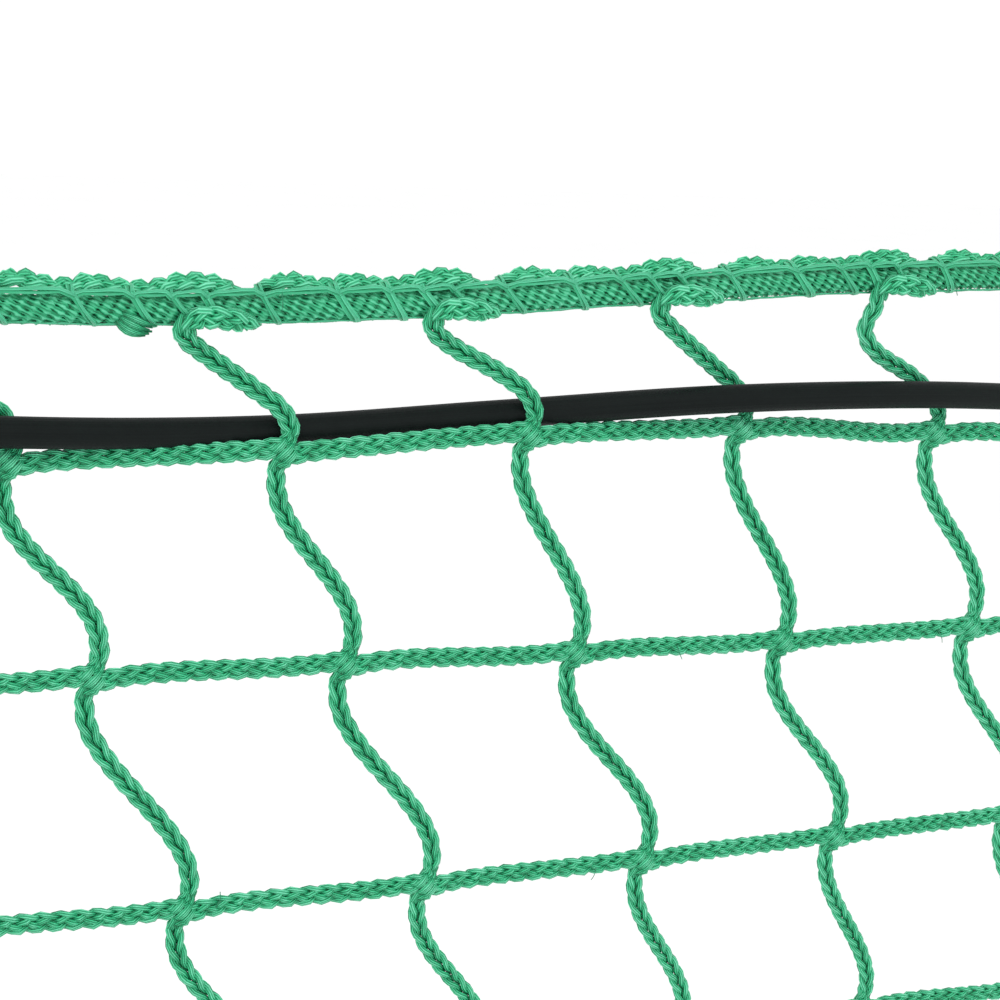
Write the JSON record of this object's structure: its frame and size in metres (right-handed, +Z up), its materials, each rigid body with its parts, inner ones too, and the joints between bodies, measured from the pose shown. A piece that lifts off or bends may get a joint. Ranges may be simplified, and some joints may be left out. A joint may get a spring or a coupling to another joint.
{
  "type": "cargo net",
  "caption": "Hanging knotless square-mesh cargo net with a bound edge rope and an elastic cord threaded round through its outer meshes.",
  "frame": {"origin": "middle of the top edge rope, on its axis; the net hangs below it in the XZ plane", "axes": "+X along the top edge rope, +Y through the net to its back, +Z up"},
  "size_m": [0.9954, 0.0174, 0.56],
  "materials": {
    "netting_twine": "knitted polymer yarn, slight sheen",
    "edge_rope": "stranded polymer yarn, slight sheen",
    "binding_twine": "flat split-film twine, shiny",
    "elastic_cover": "smooth braided cover, satin",
    "ferrule_metal": "pressed steel"
  },
  "bodies": {
    "head": {"top_edge_rope": "edge_rope", "top_edge_binding": "binding_twine", "mesh_row_00": "netting_twine"},
    "row_01": {"mesh_row_01": "netting_twine", "mesh_legs_01": "netting_twine", "side_edges_01": "edge_rope", "elastic_top_run": "elastic_cover"},
    "row_02": {"mesh_row_02": "netting_twine", "mesh_legs_02": "netting_twine", "side_edges_02": "edge_rope", "side_elastic_02": "elastic_cover"},
    "row_03": {"mesh_row_03": "netting_twine", "mesh_legs_03": "netting_twine", "side_edges_03": "edge_rope", "side_elastic_03": "elastic_cover"},
    "row_04": {"mesh_row_04": "netting_twine", "mesh_legs_04": "netting_twine", "side_edges_04": "edge_rope", "side_elastic_04": "elastic_cover"},
    "row_05": {"mesh_row_05": "netting_twine", "mesh_legs_05": "netting_twine", "side_edges_05": "edge_rope", "side_elastic_05": "elastic_cover"},
    "row_06": {"mesh_row_06": "netting_twine", "mesh_legs_06": "netting_twine", "side_edges_06": "edge_rope", "side_elastic_06": "elastic_cover"},
    "row_07": {"mesh_row_07": "netting_twine", "mesh_legs_07": "netting_twine", "side_edges_07": "edge_rope", "side_elastic_07": "elastic_cover"},
    "row_08": {"mesh_row_08": "netting_twine", "mesh_legs_08": "netting_twine", "side_edges_08": "edge_rope", "side_elastic_08": "elastic_cover"},
    "row_09": {"mesh_row_09": "netting_twine", "mesh_legs_09": "netting_twine", "side_edges_09": "edge_rope", "side_elastic_09": "elastic_cover"},
    "row_10": {"mesh_row_10": "netting_twine", "mesh_legs_10": "netting_twine", "side_edges_10": "edge_rope", "side_elastic_10": "elastic_cover"},
    "row_11": {"mesh_row_11": "netting_twine", "mesh_legs_11": "netting_twine", "side_edges_11": "edge_rope", "side_elastic_11": "elastic_cover"},
    "row_12": {"mesh_row_12": "netting_twine", "mesh_legs_12": "netting_twine", "side_edges_12": "edge_rope", "side_elastic_12": "elastic_cover"},
    "row_13": {"mesh_row_13": "netting_twine", "mesh_legs_13": "netting_twine", "side_edges_13": "edge_rope", "bottom_edge_rope": "edge_rope", "bottom_edge_binding": "binding_twine", "elastic_bottom_run": "elastic_cover", "elastic_ferrule": "ferrule_metal"}
  },
  "joints": [
    {"name": "row_01_fold", "type": "hinge", "parent": "head", "child": "row_01", "pos_m": [0, 0, 0], "axis": [1, 0, 0], "range_deg": [-24, 24]},
    {"name": "row_02_fold", "type": "hinge", "parent": "row_01", "child": "row_02", "pos_m": [0.02, 0, -0.0275], "axis": [1, 0, 0], "range_deg": [-24, 24]},
    {"name": "row_03_fold", "type": "hinge", "parent": "row_02", "child": "row_03", "pos_m": [0.033, 0, -0.07058], "axis": [1, 0, 0], "range_deg": [-24, 24]},
    {"name": "row_04_fold", "type": "hinge", "parent": "row_03", "child": "row_04", "pos_m": [0.05, 0, -0.11224], "axis": [1, 0, 0], "range_deg": [-24, 24]},
    {"name": "row_05_fold", "type": "hinge", "parent": "row_04", "child": "row_05", "pos_m": [0.062, 0, -0.15561], "axis": [1, 0, 0], "range_deg": [-24, 24]},
    {"name": "row_06_fold", "type": "hinge", "parent": "row_05", "child": "row_06", "pos_m": [0.071, 0, -0.1997], "axis": [1, 0, 0], "range_deg": [-24, 24]},
    {"name": "row_07_fold", "type": "hinge", "parent": "row_06", "child": "row_07", "pos_m": [0.077, 0, -0.2443], "axis": [1, 0, 0], "range_deg": [-24, 24]},
    {"name": "row_08_fold", "type": "hinge", "parent": "row_07", "child": "row_08", "pos_m": [0.081, 0, -0.28912], "axis": [1, 0, 0], "range_deg": [-24, 24]},
    {"name": "row_09_fold", "type": "hinge", "parent": "row_08", "child": "row_09", "pos_m": [0.083, 0, -0.33408], "axis": [1, 0, 0], "range_deg": [-24, 24]},
    {"name": "row_10_fold", "type": "hinge", "parent": "row_09", "child": "row_10", "pos_m": [0.084, 0, -0.37907], "axis": [1, 0, 0], "range_deg": [-24, 24]},
    {"name": "row_11_fold", "type": "hinge", "parent": "row_10", "child": "row_11", "pos_m": [0.084, 0, -0.42407], "axis": [1, 0, 0], "range_deg": [-24, 24]},
    {"name": "row_12_fold", "type": "hinge", "parent": "row_11", "child": "row_12", "pos_m": [0.084, 0, -0.46907], "axis": [1, 0, 0], "range_deg": [-24, 24]},
    {"name": "row_13_fold", "type": "hinge", "parent": "row_12", "child": "row_13", "pos_m": [0.084, 0, -0.51407], "axis": [1, 0, 0], "range_deg": [-24, 24]}
  ]
}
